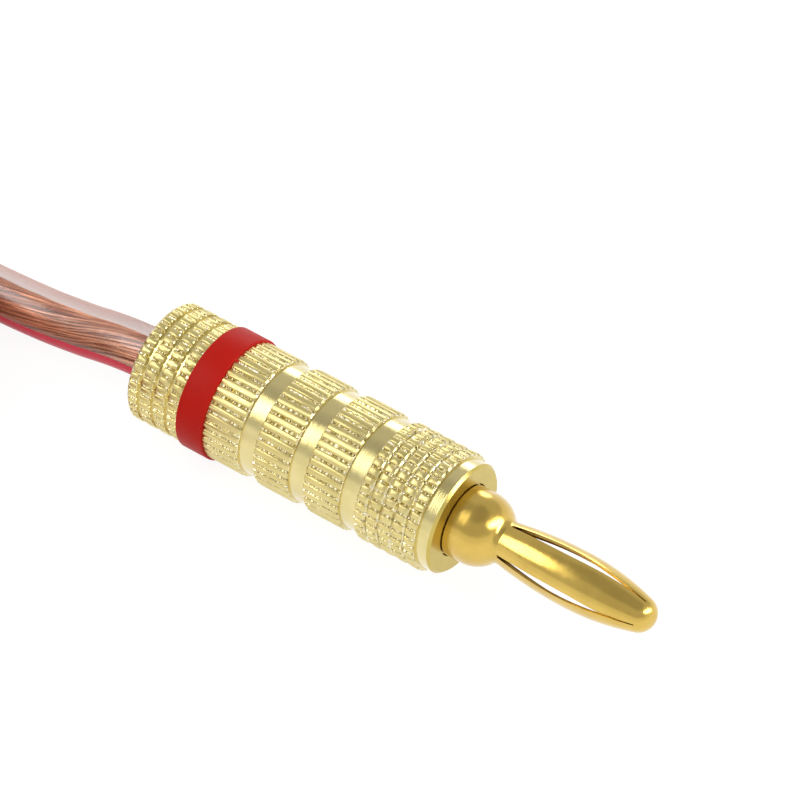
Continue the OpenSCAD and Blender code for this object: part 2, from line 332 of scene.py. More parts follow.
def keep_result(obj: bpy.types.Object, modifier: bpy.types.Modifier) -> bpy.types.Object:
    """Makes a modifier's result an object's plain mesh, and removes the modifier.

    Args:
        obj: The object.
        modifier: Its only modifier.

    Returns:
        The same object.
    """
    graph = bpy.context.evaluated_depsgraph_get()
    result = obj.evaluated_get(graph)
    mesh = bpy.data.meshes.new_from_object(result, preserve_all_data_layers=True, depsgraph=graph)
    obj.modifiers.remove(modifier)
    old = obj.data
    obj.data = mesh
    mesh.name = obj.name
    bpy.data.meshes.remove(old)
    return obj


def grow(obj: bpy.types.Object, tree: bpy.types.NodeTree, values: dict[str, object]) -> bpy.types.Object:
    """Runs a Geometry Nodes tree on an object and keeps the result as its plain mesh.

    Args:
        obj: The object, whose mesh is the tree's first input.
        tree: The tree.
        values: The other inputs, by name.

    Returns:
        The same object.
    """
    modifier = obj.modifiers.new("grow", "NODES")
    modifier.node_group = tree
    for item in tree.interface.items_tree:
        if item.in_out == "INPUT" and item.name in values:
            modifier[item.identifier] = values[item.name]
    return keep_result(obj, modifier)


def mesh_object(
    name: str,
    points: Sequence[Place],
    faces: Sequence[Sequence[int]],
    materials: Sequence[bpy.types.Material] = (),
    slots: Sequence[int] = (),
    edges: Sequence[tuple[int, int]] = (),
) -> bpy.types.Object:
    """Makes an object at the origin from points and faces.

    Args:
        name: The object's name.
        points: Places in metres.
        faces: Point numbers of each face.
        materials: The object's materials.
        slots: Material number of each face.
        edges: Point numbers of each edge of a line.

    Returns:
        The object.
    """
    mesh = bpy.data.meshes.new(name)
    mesh.from_pydata(points, edges, faces)
    for material in materials:
        mesh.materials.append(material)
    if slots:
        mesh.polygons.foreach_set("material_index", slots)
    mesh.update()
    obj = bpy.data.objects.new(name, mesh)
    bpy.context.scene.collection.objects.link(obj)
    return obj


def finish_mesh(obj: bpy.types.Object, sharp: float = 40.0, merge: float = 0.0) -> bpy.types.Object:
    """Turns faces outwards and shades them smooth, with sharp edges above an angle.

    Args:
        obj: The object.
        sharp: Edges with a larger angle stay sharp.
        merge: Points nearer than this are joined first.

    Returns:
        The same object.
    """
    work = bmesh.new()
    work.from_mesh(obj.data)
    if merge:
        bmesh.ops.remove_doubles(work, verts=work.verts, dist=merge * MM)
    bmesh.ops.recalc_face_normals(work, faces=work.faces)
    work.to_mesh(obj.data)
    work.free()
    obj.data.shade_smooth()
    obj.data.set_sharp_from_angle(angle=math.radians(sharp))
    return obj


def settle(piece: bpy.types.Object, body: str, slot: str, *nodes: str) -> bpy.types.Object:
    """Attaches a piece to the body that carries it and hides the CAD nodes that it stands for.

    Args:
        piece: The finished piece.
        body: The body that carries it.
        slot: Not used.
        nodes: CAD nodes that it replaces.

    Returns:
        The same piece.
    """
    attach(piece, body)
    if nodes:
        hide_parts(*nodes)
    return piece


def quads(first: Sequence[int], second: Sequence[int]) -> list[Face]:
    """Faces between two closed rings of point numbers."""
    return list(zip(first, (*first[1:], first[0]), (*second[1:], second[0]), second))


def loft(rings: Sequence[Sequence[Place]], closed: bool, start: int = 0) -> tuple[list[Place], list[Face]]:
    """Joins rings of points by faces.

    Args:
        rings: Places of each ring, of one count in all.
        closed: Whether the last ring joins the first one. Otherwise both ends get a cap.
        start: Number of the first point.

    Returns:
        The points and the faces.
    """
    count = len(rings[0])
    rows = [range(start + i * count, start + (i + 1) * count) for i in range(len(rings))]
    after = [*rows[1:], rows[0]] if closed else rows[1:]
    faces = [face for row, other in zip(rows, after) for face in quads(row, other)]
    if not closed:
        faces += [tuple(reversed(rows[0])), tuple(rows[-1])]
    return [place for ring in rings for place in ring], faces


def even_columns(count: int) -> list[float]:
    """Angles of evenly spaced columns, in radians."""
    return [TURN * i / count for i in range(count)]


@dataclass(frozen=True)
class Finish:
    """A surface finish, which makes one material."""

    name: str

    def shader(self, board: Board) -> Sock:
        """The finish's shader on a material's board; each kind of finish has its own."""
        raise NotImplementedError

    def material(self) -> bpy.types.Material:
        """Makes the finish's material at its first use.

        Returns:
            The material.
        """
        found = bpy.data.materials.get(self.name)
        if found is not None:
            return found
        made = bpy.data.materials.new(self.name)
        made.use_nodes = True
        made.node_tree.nodes.clear()
        board = Board(made.node_tree)
        board.node("ShaderNodeOutputMaterial", None, {"Surface": self.shader(board)})
        return made


class Marks(Enum):
    """Tool marks in a metal surface."""

    ROLLED = "short ticks across the teeth of a rolled knurl"
    TURNED = "fine rings left by a lathe"
    BUFFED = "a polish with faint haze"


@dataclass(frozen=True)
class Ticks:
    """Ticks in the grooves of a rolled knurl, which bump the surface and carry painted glints and painted
    shade; each range leads from no tick to a full one.
    """

    grain: Place = (8000.0, 1100.0, 1100.0)
    contrast: Span = (0.35, 0.65)
    groove_range: Span = (0.2, 0.8)
    groove_polish: float = 0.6
    # Painted glint: a near-white metal colour put where bright ticks lie in the grooves.
    bright: Colour = (1.0, 0.96, 0.8)
    glint_range: Span = (0.6, 0.3)
    glint_share: float = 0.9
    # Painted shade: a dark brown put where dark ticks lie in the grooves, for the dark reflections and shade
    # there.
    dark: Colour = (0.16, 0.11, 0.03)
    shade_range: Span = (0.72, 0.92)
    shade_share: float = 0.65

    def pattern(self, board: Board, spot: Sock) -> Sock:
        """The ticks at a place, from 0 to 1."""
        stretched = board.node("ShaderNodeMapping", None, {"Vector": spot, "Scale": self.grain})
        return board.ramp(board.noise(stretched, 1.0, detail=0.0), *self.contrast)

    def paint_glints_and_shade(self, board: Board, tint: Sock, pattern: Sock, groove: Sock) -> Sock:
        """Paints the ticks into a tint: bright ticks as painted glints, dark ticks as painted shade.

        Args:
            board: The material's tree.
            tint: The metal's tint.
            pattern: The ticks.
            groove: How deep in a groove the place is, from 0 to 1.

        Returns:
            The tint with its painted glints and painted shade.
        """
        deep = board.ramp(groove, *self.groove_range)
        # Painted glints: bright ticks deep in the grooves.
        bright = board.ramp(pattern, *self.glint_range) * deep * self.glint_share
        # Painted shade: dark ticks deep in the grooves.
        dark = board.ramp(pattern, *self.shade_range) * deep * self.shade_share
        return board.blend(dark, board.blend(bright, tint, self.bright), self.dark)


@dataclass(frozen=True)
class WorkedMetal(Finish):
    """Gold plate or bare steel that keeps its tool marks."""

    colour: Colour
    shade: Colour
    roughness: float
    haze: float
    marks: Marks
    mark_depth: float
    coat: float = 0.0
    coat_roughness: float = 0.12
    patches: float = 420.0
    patch_range: Span = (0.32, 0.68)
    clouds: float = 1500.0
    pits: float = 6000.0
    pit_share: float = 0.1
    rings: float = 14000.0
    scuffs: float = 3000.0
    ticks: Ticks = Ticks()

    def shader(self, board: Board) -> Sock:
        """Metal whose tint and gloss drift a little, over its tool marks, with painted glints and painted
        shade in a knurl's grooves.

        Args:
            board: The material's tree.

        Returns:
            The shader.
        """
        spot = board.spot()
        patch = board.ramp(board.noise(spot, self.patches, detail=3.0), *self.patch_range)
        tint = board.blend(patch, self.colour, self.shade)
        gloss = board.noise(spot, self.clouds)
        gloss = board.spread(gloss, self.roughness - self.haze, self.roughness + self.haze)
        if self.marks is Marks.ROLLED:
            groove = board.attribute("groove")
            pattern = self.ticks.pattern(board, spot)
            # Paints glints and shade into the knurl's grooves.
            tint = self.ticks.paint_glints_and_shade(board, tint, pattern, groove)
            gloss = gloss * (1.0 - groove * self.ticks.groove_polish)
            height = (pattern - 0.5) * groove + board.noise(spot, self.pits) * self.pit_share
        elif self.marks is Marks.TURNED:
            along = board.parts(spot)["X"] * self.rings
            lines = {"W": along, "Scale": 1.0, "Detail": 2.0}
            height = board.node("ShaderNodeTexNoise", {"noise_dimensions": "1D"}, lines)
        else:
            height = board.noise(spot, self.scuffs)
        return board.principled({
            "Base Color": tint,
            "Metallic": 1.0,
            "Roughness": gloss,
            "Coat Weight": self.coat,
            "Coat Roughness": self.coat_roughness,
            "Normal": board.bump(height, self.mark_depth),
        })


@dataclass(frozen=True)
class MouldedPlastic(Finish):
    """Satin plastic with a fine moulded grain."""

    colour: Colour
    shade: Colour
    roughness: float
    grain: float
    grain_depth: float
    haze: float = 0.05
    gleam: float = 0.1
    patches: float = 350.0

    def shader(self, board: Board) -> Sock:
        """Plastic whose colour and gloss drift a little over its grain.

        Args:
            board: The material's tree.

        Returns:
            The shader.
        """
        spot = board.spot()
        drift = board.spread(board.noise(spot, self.patches, detail=3.0))
        grain = board.noise(spot, self.grain, detail=3.0, roughness=0.6)
        return board.principled({
            "Base Color": board.blend(drift, self.colour, self.shade),
            "Roughness": board.spread(grain, self.roughness - self.haze, self.roughness + self.haze),
            "Specular IOR Level": self.gleam,
            "Normal": board.bump(grain, self.grain_depth),
        })


@dataclass(frozen=True)
class DrawnCopper(Finish):
    """Fine copper strands, some bright and some tarnished, with painted shade on the sunk strands and on the
    heart.
    """

    bright: Colour
    dark: Colour
    roughness: Span
    patches: float = 330.0
    patch_share: float = 0.9
    sink_shade_share: float = 0.6
    tarnish_and_shade: Span = (0.5, 1.0)

    def shader(self, board: Board) -> Sock:
        """Metal whose tint goes by strand and by patches along it; a strand's value also sets how deep it
        sinks, so deeper strands and the heart come out darker as painted shade.

        Args:
            board: The material's tree.

        Returns:
            The shader.
        """
        patch = board.noise(board.spot(), self.patches, detail=3.0)
        drift = board.attribute("strand") * self.sink_shade_share + patch * self.patch_share
        return board.principled({
            "Base Color": board.blend(board.ramp(drift, *self.tarnish_and_shade), self.bright, self.dark),
            "Metallic": 1.0,
            "Roughness": board.spread(patch, *self.roughness),
        })


@dataclass(frozen=True)
class ClearVinyl(Finish):
    """Clear soft plastic with a faint tint, which looks denser towards its edges."""

    tint: Colour
    shade: Colour
    roughness: Span
    gloss: float
    density: Span
    edge: Span = (0.35, 0.95)
    waves: float = 300.0
    wave_depth: float = 0.08

    def shader(self, board: Board) -> Sock:
        """Glossy plastic that shows what lies under it.

        Args:
            board: The material's tree.

        Returns:
            The shader.
        """
        wave = board.noise(board.spot(), self.waves)
        facing = board.node("ShaderNodeLayerWeight", None, {"Blend": 0.5})["Facing"]
        surface = {
            "Roughness": board.spread(wave, *self.roughness),
            "Normal": board.bump(wave, self.wave_depth),
        }
        body = board.principled({
            "Base Color": board.blend(board.spread(wave), self.tint, self.shade),
            "Alpha": board.ramp(facing, *self.edge, *self.density),
            **surface,
        })
        skin = board.principled({"Base Color": WHITE, "Metallic": 1.0, **surface})
        return board.mixed(board.ramp(facing, 0.0, 1.0, self.gloss, self.gloss * 2), body, skin)


@dataclass(frozen=True)
class WovenTape(Finish):
    """Plain woven tape."""

    colour: Colour
    shade: Colour
    thread: float
    roughness: Span = (0.75, 0.95)
    lint: float = 4000.0
    lint_tint: float = 0.4
    lint_height: float = 0.3
    relief: float = 0.15

    def shader(self, board: Board) -> Sock:
        """Matt cloth of crossing threads.

        Args:
            board: The material's tree.

        Returns:
            The shader.
        """
        spot = board.spot()
        bands = {"wave_type": "BANDS", "bands_direction": "DIAGONAL"}
        sockets = {"Vector": spot, "Scale": self.thread, "Distortion": 1.0, "Detail": 2.0}
        weave = board.node("ShaderNodeTexWave", bands, sockets)["Fac"]
        lint = board.noise(spot, self.lint, detail=3.0)
        tint = weave * (1 - self.lint_tint) + lint * self.lint_tint
        height = weave * (1 - self.lint_height) + lint * self.lint_height
        return board.principled({
            "Base Color": board.blend(tint, self.colour, self.shade),
            "Roughness": board.ramp(lint, 0.0, 1.0, *self.roughness),
            "Normal": board.bump(height, self.relief),
        })


@dataclass(frozen=True)
class PaleFloor(Finish):
    """A pale surface that looks white and keeps a faint shadow."""

    colour: Colour
    glow: float
    white: float

    def shader(self, board: Board) -> Sock:
        """A matt surface, mixed with white for what the camera, metal and clear plastic see.

        Args:
            board: The material's tree.

        Returns:
            The shader.
        """
        path = board.node("ShaderNodeLightPath")
        seen = path["Is Camera Ray"] + path["Is Glossy Ray"] + path["Is Transmission Ray"]
        matt = board.node("ShaderNodeBsdfDiffuse", None, {"Color": (*self.colour, 1.0)})
        white = board.node("ShaderNodeEmission", None, {"Color": WHITE, "Strength": self.white})
        return board.mixed(board.ramp(seen, 0.0, 1.0, 0.0, self.glow), matt, white)


PALE_GOLD = (0.77, 0.65, 0.285)
PALE_SHADE = (0.69, 0.575, 0.225)
# The front face's gold is a darker, deeper copy of the pale gold: painted shade for the darker surroundings
# that the face reflects.
SHADED_FACE_GOLD = (0.61, 0.48, 0.135)
SHADED_FACE_PATCH = (0.57, 0.44, 0.115)
DEEP_GOLD = (0.72, 0.5, 0.105)
DEEP_SHADE = (0.64, 0.43, 0.08)

KNURLED_GOLD = WorkedMetal("knurled_gold", PALE_GOLD, PALE_SHADE, 0.34, 0.05, Marks.ROLLED, 0.07)
TURNED_GOLD = WorkedMetal("turned_gold", PALE_GOLD, PALE_SHADE, 0.18, 0.04, Marks.TURNED, 0.004, coat=0.9)
SHADED_POLISHED_GOLD = WorkedMetal("polished_gold_painted_shade", SHADED_FACE_GOLD, SHADED_FACE_PATCH, 0.25, 0.03, Marks.BUFFED, 0.002)
BORED_GOLD = WorkedMetal("bored_gold", PALE_SHADE, DEEP_SHADE, 0.32, 0.06, Marks.TURNED, 0.008)
CONTACT_GOLD = WorkedMetal("contact_gold", DEEP_GOLD, DEEP_SHADE, 0.2, 0.04, Marks.TURNED, 0.005, coat=0.6)
LEAF_GOLD = WorkedMetal("leaf_gold", DEEP_GOLD, DEEP_SHADE, 0.2, 0.04, Marks.BUFFED, 0.003, coat=0.6)
SCREW_STEEL = WorkedMetal("bare_steel", (0.5, 0.5, 0.52), (0.4, 0.4, 0.42), 0.34, 0.06, Marks.TURNED, 0.006)
RING_RED = MouldedPlastic("ring_red", (0.47, 0.01, 0.005), (0.43, 0.009, 0.004), 0.45, 5000.0, 0.006)
STRIPE_RED = MouldedPlastic("stripe_red", (0.72, 0.042, 0.08), (0.66, 0.038, 0.072), 0.3, 3000.0, 0.004)
STRAND_COPPER = DrawnCopper("strand_copper", (0.98, 0.52, 0.32), (0.28, 0.1, 0.055), (0.16, 0.3))
CLEAR_JACKET = ClearVinyl(
    "clear_vinyl", (0.55, 0.2, 0.115), (0.5, 0.18, 0.105), (0.22, 0.27), gloss=0.05, density=(0.3, 0.9)
)
TIE_TAPE = WovenTape("tie_tape", (0.03, 0.03, 0.032), (0.06, 0.06, 0.062), 900.0)
FLOOR_WHITE = PaleFloor("floor_white", (0.88, 0.88, 0.88), 0.75, 1.17)


class Zone(Enum):
    """How a wall of a turned piece is finished."""

    KNURLED = 0
    TURNED = 1
    POLISHED = 2
    BORED = 3


PALE_ZONES = {
    Zone.KNURLED: KNURLED_GOLD,
    Zone.TURNED: TURNED_GOLD,
    Zone.POLISHED: SHADED_POLISHED_GOLD,
    Zone.BORED: BORED_GOLD,
}


@dataclass
class Section:
    """Outline of a turned piece: places along the axis and out from it, and the zone of the wall to each."""

    points: list[Span] = field(default_factory=list)
    zones: list[Zone] = field(default_factory=list)

    def run(self, zone: Zone, *places: Span) -> "Section":
        """Adds walls in one zone.

        Args:
            zone: The walls' zone.
            places: The end of each wall.

        Returns:
            The section.
        """
        self.points.extend(places)
        self.zones.extend(zone for _ in places)
        return self

    def arc(self, middle: Span, radius: float, start: float, end: float, steps: int) -> "Section":
        """Adds an arc of turned walls.

        Args:
            middle: Place of the arc's middle.
            radius: Its radius.
            start: Angle of its first point from the axis' direction.
            end: Angle of its last point.
            steps: Walls in it.

        Returns:
            The section.
        """
        for i in range(steps + 1):
            angle = math.radians(start + (end - start) * i / steps)
            along, out = radius * math.cos(angle), radius * math.sin(angle)
            self.run(Zone.TURNED, (middle[0] + along, middle[1] + out))
        return self

    def turned(
        self, name: str, height: float, columns: Sequence[float], finishes: dict[Zone, Finish]
    ) -> bpy.types.Object:
        """Spins the section about the axis.

        Args:
            name: The object's name.
            height: Height of the axis.
            columns: Angles of the columns of points, in radians.
            finishes: A finish for each zone.

        Returns:
            The object, with a closed mesh.
        """
        points: list[Place] = []
        rows: list[Sequence[int]] = []
        for along, out in self.points:
            first = len(points)
            if out < TINY:
                points.append((along * MM, 0.0, height * MM))
                rows.append([first] * len(columns))
                continue
            points.extend(
                (along * MM, out * math.cos(a) * MM, (height + out * math.sin(a)) * MM) for a in columns
            )
            rows.append(range(first, len(points)))
        order = list(finishes)
        faces, slots = [], []
        for row, after, zone in zip(rows, [*rows[1:], rows[0]], [*self.zones[1:], self.zones[0]]):
            corners = [list(dict.fromkeys(quad)) for quad in quads(row, after)]
            faces += [face for face in corners if len(face) > 2]
            slots += [order.index(zone)] * (len(faces) - len(slots))
        return mesh_object(name, points, faces, [finishes[zone].material() for zone in order], slots)


def direction(azimuth: float, elevation: float) -> Vector:
    """Direction from the plug to where something stands."""
    a, e = math.radians(azimuth), math.radians(elevation)
    return Vector((math.sin(a) * math.cos(e), -math.cos(a) * math.cos(e), math.sin(e)))


@dataclass(frozen=True)
class Softbox:
    """An oval lamp that faces the plug, where a glow of 1 is white."""

    name: str
    azimuth: float
    elevation: float
    size: Span
    glow: float
    distance: float = 500.0

    def build(self) -> None:
        """Makes the lamp, with the first of its sizes along the plug's axis."""
        data = bpy.data.lights.new(self.name, "AREA")
        data.shape = "ELLIPSE"
        data.size, data.size_y = (side * MM for side in self.size)
        data.energy = self.glow * math.pi * (math.pi / 4 * data.size * data.size_y)
        lamp = bpy.data.objects.new(self.name, data)
        bpy.context.scene.collection.objects.link(lamp)
        back = direction(self.azimuth, self.elevation)
        wide = (Vector((1, 0, 0)) - back * back.x).normalized()
        lamp.location = back * self.distance * MM
        lamp.rotation_euler = Matrix((wide, back.cross(wide), back)).transposed().to_euler()


@dataclass
class Studio:
    """Camera, lights and floor."""

    azimuth: float = 35.687
    elevation: float = 47.349
    distance: float = 600.0
    lens: float = 320.62
    sensor: float = 36.0
    nearest: float = 10.0
    aim: Place = (-3.556, 4.164, 10.794)
    floor_size: float = 3000.0
    lamps: tuple[Softbox, ...] = (
        Softbox("key", -55.0, 46.0, (190.0, 380.0), 4.0),
        Softbox("card", 108.0, 32.0, (155.0, 500.0), 7.5),
        Softbox("rim", 204.0, 16.0, (180.0, 180.0), 2.5),
    )
    wall_top: Span = (0.26, 0.36)
    wall_loss: float = 0.37
    overhead: Span = (0.84, 0.91)
    overhead_loss: float = 0.2

    def build_camera(self) -> None:
        """Makes the camera at the photograph's place."""
        data = bpy.data.cameras.new("camera")
        data.lens = self.lens
        data.sensor_width = self.sensor
        data.clip_start = self.nearest * MM
        camera = bpy.data.objects.new("camera", data)
        bpy.context.scene.collection.objects.link(camera)
        back = direction(self.azimuth, self.elevation)
        camera.location = Vector(self.aim) * MM + back * self.distance * MM
        camera.rotation_euler = back.to_track_quat("Z", "Y").to_euler()
        bpy.context.scene.camera = camera

    def build_lights(self) -> None:
        """Makes the lamps and a world that is white low down and dim overhead."""
        for lamp in self.lamps:
            lamp.build()
        world = bpy.data.worlds.new("world")
        bpy.context.scene.world = world
        world.use_nodes = True
        world.node_tree.nodes.clear()
        board = Board(world.node_tree)
        path = board.node("ShaderNodeLightPath")
        seen = board.ramp(path["Is Camera Ray"] + path["Is Transmission Ray"], 0.0, 1.0)
        height = board.parts(board.node("ShaderNodeTexCoord")["Generated"])["Z"]
        level = 1.0 - board.ramp(height, *self.wall_top, 0.0, self.wall_loss)
        level = level - board.ramp(height, *self.overhead, 0.0, self.overhead_loss)
        dim, white = (
            board.node("ShaderNodeBackground", None, {"Color": WHITE, "Strength": strength})
            for strength in (level, 1.0)
        )
        board.node("ShaderNodeOutputWorld", None, {"Surface": board.mixed(seen, dim, white)})

    def build_floor(self) -> None:
        """Makes the floor that the plug lies on."""
        half = self.floor_size * MM / 2
        corners = [(x * half, y * half, 0.0) for x, y in ((-1, -1), (1, -1), (1, 1), (-1, 1))]
        mesh_object("floor", corners, [(0, 1, 2, 3)], [FLOOR_WHITE.material()])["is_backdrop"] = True


def ease(share: float) -> float:
    """A move from 0 to 1 on two equal bends."""
    t = min(max(share, 0.0), 1.0)
    return 2 * t * t if t < 0.5 else 1 - 2 * (1 - t) ** 2


@dataclass
class Cable:
    """The clear cable from the contact to its tied coil and its stripped far end."""

    route: tuple[Place, ...] = (
        (-13.3, 0, 5.7), (-17.5, 0, 5.7), (-21.5, 0, 5.7), (-25.5, 0, 5.6), (-27.5, 0, 5.45),
        (-29.5, 0, 5.2), (-31.5, 0, 4.8), (-33.5, 0, 4.3), (-35.5, 0, 3.9), (-37.5, 0, 3.55),
        (-39.5, 0, 3.3), (-41.5, 0, 3.1), (-45.5, 0, 2.8), (-49.5, 0, 2.6), (-53.5, 0, 2.45),
        (-57.5, 0, 2.4), (-61.5, 0, 2.4), (-66, 0, 2.4),
    )
    route_parts: int = 4
    run_out: float = 4.0
    diameter: float = 4.7
    length: float = 1000.0
    coil_middle: Span = (-66.0, -32.7)
    coil_outer_turn: float = 32.7
    coil_mid_turn: float = 28.0
    coil_window: float = 70.0
    coil_in: Span = (360.0, 720.0)
    coil_up: float = 975.0
    coil_out: Span = (1265.0, 1625.0)
    coil_sweep: float = 1980.0
    coil_step: float = 7.5
    tie_angle: float = 180.0
    tie_reach: float = 15.0
    tie_width: float = 6.0
    tie_thickness: float = 0.5
    tie_edge: float = 0.12
    tie_corner_steps: int = 12
    bundle_diameter: float = 2.4
    bundle_shift: float = 0.47
    bundle_side: float = -35.3
    heart_share: float = 0.84
    heart_sides: int = 12
    strand_count: int = 62
    strand_diameter: float = 0.17
    strand_sides: int = 4
    strand_sink: float = 0.9
    lay_length: float = 70.0
    sway_length: float = 23.0
    sway_phases: float = 40.0
    wander: float = 0.12
    seed: int = 7
    swell: float = 1.52
    swell_steps: int = 6
    stripped_length: float = 10.5
    bare_length: float = 10.0
    stripe_middle: float = -18.0
    stripe_half: float = 22.0
    stripe_columns: int = 8
    clear_columns: int = 26
    skin: float = 0.02

    def coil_place(self, sweep: float) -> Vector:
        """A place on the coil's line.

        Args:
            sweep: Degrees wound so far.

        Returns:
            The place, in millimetres.
        """
        window, middle = self.coil_window, self.coil_mid_turn
        out = self.coil_outer_turn
        for start in self.coil_in:
            out -= self.diameter * ease((sweep - start) / window + 0.5)
        for start in self.coil_out:
            out += self.diameter * ease((sweep - start) / window)
        height = self.diameter * (0.5 + ease((sweep - self.coil_up) / window))
        angle = 90 + sweep
        gap = math.radians(abs((angle - self.tie_angle + 180) % 360 - 180)) * middle
        pull = 1 - ease((gap - self.tie_width / 2) / self.tie_reach)
        squeeze = pull * self.tie_thickness
        out = middle + (out - middle) * (1 - squeeze / (self.coil_outer_turn - middle))
        height = self.diameter + (height - self.diameter) * (1 - 2 * squeeze / self.diameter)
        turned = math.radians(angle)
        flat = Vector((*self.coil_middle, 0)) + Vector((math.cos(turned), math.sin(turned), 0)) * out
        return flat + Vector((0, 0, height))

    def centreline(self) -> list[Vector]:
        """Lays the cable's line from the contact to the end of its jacket.

        Returns:
            Places in millimetres.
        """
        knots = [Vector(p) for p in self.route]
        ends = [2 * knots[0] - knots[1], *knots, knots[-1] + Vector((-self.run_out, 0, 0))]
        line = [knots[0]]
        for a, b, c, d in zip(ends, ends[1:], ends[2:], ends[3:]):
            for i in range(1, self.route_parts + 1):
                t = i / self.route_parts
                bend = (2 * a - 5 * b + 4 * c - d) * t ** 2 + (3 * b - a - 3 * c + d) * t ** 3
                line.append(0.5 * (2 * b + (c - a) * t + bend))
        steps = round(self.coil_sweep / self.coil_step)
        line.extend(self.coil_place(self.coil_step * i) for i in range(1, steps + 1))
        return line

    @staticmethod
    def frames(line: Sequence[Vector]) -> list[tuple[Vector, Vector, Vector]]:
        """Finds the directions across a line.

        Args:
            line: Its places.

        Returns:
            Each place with its level side and its up direction.
        """
        found = []
        for i, place in enumerate(line):
            along = (line[min(i + 1, len(line) - 1)] - line[max(i - 1, 0)]).normalized()
            side = Vector((0, 0, 1)).cross(along).normalized()
            found.append((place, side, along.cross(side)))
        return found

    def build_sleeve(self, line: Sequence[Vector]) -> bpy.types.Object:
        """Makes the clear jacket with the coloured stripe in its wall.

        Args:
            line: Places in millimetres.

        Returns:
            The jacket.
        """
        radius = self.diameter / 2 - self.skin
        stripe, clear = self.stripe_columns, self.clear_columns
        start, wide = self.stripe_middle - self.stripe_half, 2 * self.stripe_half
        around = [start + wide * i / stripe for i in range(stripe)]
        around += [start + wide + (360 - wide) * i / clear for i in range(clear)]
        turns = [math.radians(a) for a in around]
        outline = [(radius * math.cos(a), radius * math.sin(a)) for a in turns]
        rings = [
            [tuple((place + side * s + up * u) * MM) for s, u in outline]
            for place, side, up in self.frames(line)
        ]
        points, faces = loft(rings, closed=False)
        slots = ([1] * stripe + [0] * clear) * (len(line) - 1) + [0, 0]
        materials = [CLEAR_JACKET.material(), STRIPE_RED.material()]
        return finish_mesh(mesh_object("cable_sleeve", points, faces, materials, slots), sharp=50.0)

    def strand_tree(self) -> bpy.types.NodeTree:
        """Makes Geometry Nodes that lay twisted strands along a line of edges, about a plain heart that
        carries the darkest strand value as painted shade.

        Returns:
            The tree.
        """
        board = GeoBoard("strands", {
            "Count": int, "Bundle Radius": float, "Strand Radius": float, "Lay Length": float,
            "Wander": float, "Seed": int,
        })
        given = board.given
        curve = board.node("GeometryNodeMeshToCurve", None, {"Mesh": given["Geometry"]})
        curve = board.node("GeometryNodeSetCurveNormal", {"mode": "Z_UP"}, {"Curve": curve})
        amount = {"Geometry": curve, "Amount": given["Count"]}
        copies = board.node("GeometryNodeDuplicateElements", {"domain": "SPLINE"}, amount)
        number = copies["Duplicate Index"]
        chance = board.node(
            "FunctionNodeRandomValue", {"data_type": "FLOAT"}, {"ID": number, "Seed": given["Seed"]}
        )["Value_001"]
        along = board.node("GeometryNodeSplineParameter")["Length"]
        sway = board.calc("SINE", along * (TURN / (self.sway_length * MM)) + chance * self.sway_phases)
        lay = number / given["Count"] * TURN - along / given["Lay Length"] * TURN
        angle = lay + sway * given["Wander"]
        swell = board.carried("FLOAT", "swell")
        reach = given["Bundle Radius"] * swell - given["Strand Radius"] * (1.0 + chance * self.strand_sink)
        side = board.node("GeometryNodeInputNormal")
        up = board.vector("CROSS_PRODUCT", board.node("GeometryNodeInputTangent"), side)
        level = board.scaled(side, board.calc("COSINE", angle) * reach)
        rise = board.scaled(up, board.calc("SINE", angle) * reach)
        # Painted shade: the random value that sinks a strand also darkens its tone.
        strands = board.stored(copies, "CURVE", "strand", chance)
        offset = board.vector("ADD", level, rise)
        strands = board.node("GeometryNodeSetPosition", None, {"Geometry": strands, "Offset": offset})
        # Painted shade: the heart gets the darkest strand value where it shows between the strands.
        heart = board.stored(curve, "CURVE", "strand", 1.0)
        bars = [
            board.bar(strands, self.strand_sides, given["Strand Radius"]),
            board.bar(heart, self.heart_sides, given["Bundle Radius"] * self.heart_share, swell),
        ]
        return board.close(board.node("GeometryNodeJoinGeometry", None, {"Geometry": bars}))

    def core_line(self, line: Sequence[Vector]) -> tuple[list[Vector], list[float]]:
        """Lays the strands' line, with two more points for each stripped end.

        Args:
            line: The jacket's line.

        Returns:
            The strands' line, and how far they spread at each of its places.
        """
        shift = math.radians(self.bundle_side)
        aside, down = math.cos(shift) * self.bundle_shift, math.sin(shift) * self.bundle_shift
        core = [place + side * aside + up * down for place, side, up in self.frames(line)]
        core[0].y, core[0].z = 0.0, line[0].z
        front = core[0] + Vector((self.stripped_length, 0, 0))
        end = core[-1] + Vector((self.bare_length, 0, 0))
        inside = [min(i, len(core) - 1 - i) / self.swell_steps for i in range(len(core))]
        spread = [1.0, 1.0, *(1 + (self.swell - 1) * ease(share) for share in inside), 1.0, 1.0]
        return [front, (front + core[0]) / 2, *core, (core[-1] + end) / 2, end], spread

    def build_strands(self, line: Sequence[Vector]) -> bpy.types.Object:
        """Makes the twisted copper strands.

        Args:
            line: The jacket's line.

        Returns:
            The strands.
        """
        core, spread = self.core_line(line)
        edges = [(i, i + 1) for i in range(len(core) - 1)]
        strands = mesh_object("copper_strands", [tuple(p * MM) for p in core], [], edges=edges)
        strands.data.attributes.new("swell", "FLOAT", "POINT").data.foreach_set("value", spread)
        grow(strands, self.strand_tree(), {
            "Count": self.strand_count,
            "Bundle Radius": self.bundle_diameter / 2 * MM,
            "Strand Radius": self.strand_diameter / 2 * MM,
            "Lay Length": self.lay_length * MM,
            "Wander": self.wander,
            "Seed": self.seed,
            "Material": STRAND_COPPER.material(),
        })
        return finish_mesh(strands, sharp=80.0)

